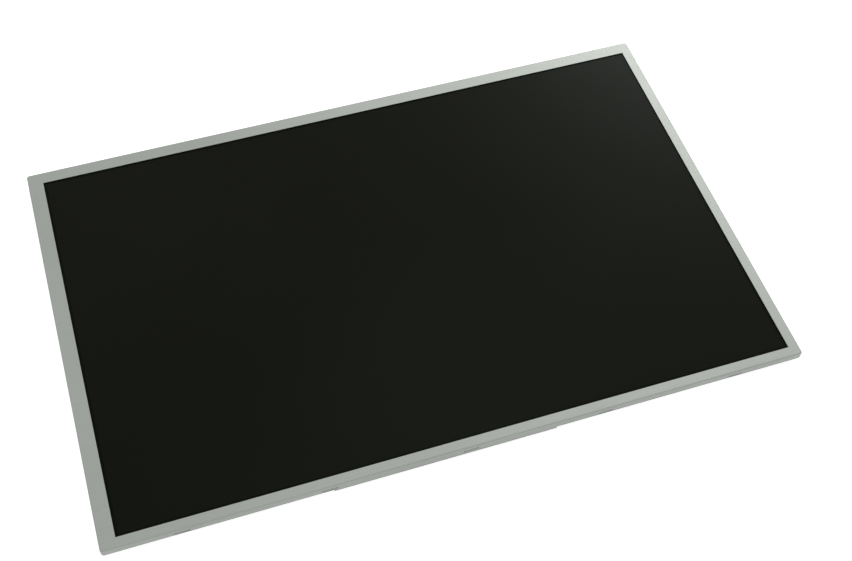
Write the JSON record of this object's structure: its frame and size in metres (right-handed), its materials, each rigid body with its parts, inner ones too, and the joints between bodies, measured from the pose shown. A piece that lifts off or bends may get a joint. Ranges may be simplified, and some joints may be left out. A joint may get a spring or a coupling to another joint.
{
  "type": "lcd panel",
  "caption": "Flat edge-lit display module: a screen in a thin folded metal bezel, with a ribbed sheet-metal back, a shielded driver board and mounting nuts.",
  "frame": {"origin": "centre of the outline, on the surface that the back rests on", "axes": "+X along the long side to the viewer's right, +Y towards the screen's top edge, +Z out of the screen"},
  "size_m": [0.4966, 0.3178, 0.0094],
  "materials": {
    "bezel_metal": "satin",
    "foam": "matt",
    "front_polarizer": "semi-matt, anti-glare",
    "cell_glass": "clear",
    "rear_polarizer": "gloss",
    "film": "gloss",
    "chip": "matt",
    "frame_plastic": "matt",
    "sheet": "matt",
    "light_guide": "clear",
    "pad_rubber": "matt",
    "led": "matt",
    "led_board": "satin",
    "tape": "matt",
    "connector": "matt",
    "contact": "polished",
    "chassis_steel": "zinc-coated",
    "nut": "zinc-coated",
    "insulator": "satin",
    "circuit_board": "gloss",
    "capacitor": "satin",
    "shield_steel": "satin",
    "screw": "zinc-coated"
  },
  "bodies": {
    "root": {"front_bezel": "bezel_metal", "front_cushion_top": "foam", "front_cushion_bottom": "foam", "front_cushion_left": "foam", "front_cushion_right": "foam", "front_polarizer": "front_polarizer", "colour_filter_glass": "cell_glass", "array_glass": "cell_glass", "rear_polarizer": "rear_polarizer", "source_driver_films": "film", "source_driver_chips": "chip", "gate_driver_films": "film", "gate_driver_chips": "chip", "cell_cushion_top": "foam", "cell_cushion_bottom": "foam", "cell_cushion_left": "foam", "cell_cushion_right": "foam", "mid_frame": "frame_plastic", "upper_diffuser_sheet": "sheet", "prism_sheet": "sheet", "lower_diffuser_sheet": "sheet", "light_guide_plate": "light_guide", "light_guide_pads": "pad_rubber", "reflector_sheet": "sheet", "led_packages": "led", "led_board": "led_board", "led_thermal_tape": "tape", "led_tail": "film", "led_connector": "connector", "led_connector_contacts": "contact", "rear_chassis": "chassis_steel", "mounting_nuts": "nut", "board_insulator": "insulator", "driver_board": "circuit_board", "timing_controller": "chip", "memory_chip": "chip", "power_chip": "chip", "power_inductor": "chip", "board_capacitors": "capacitor", "signal_connector": "connector", "signal_connector_contacts": "contact", "board_shield": "shield_steel", "board_screws": "screw", "shield_screws": "screw", "bezel_screws": "screw"}
  },
  "joints": []
}
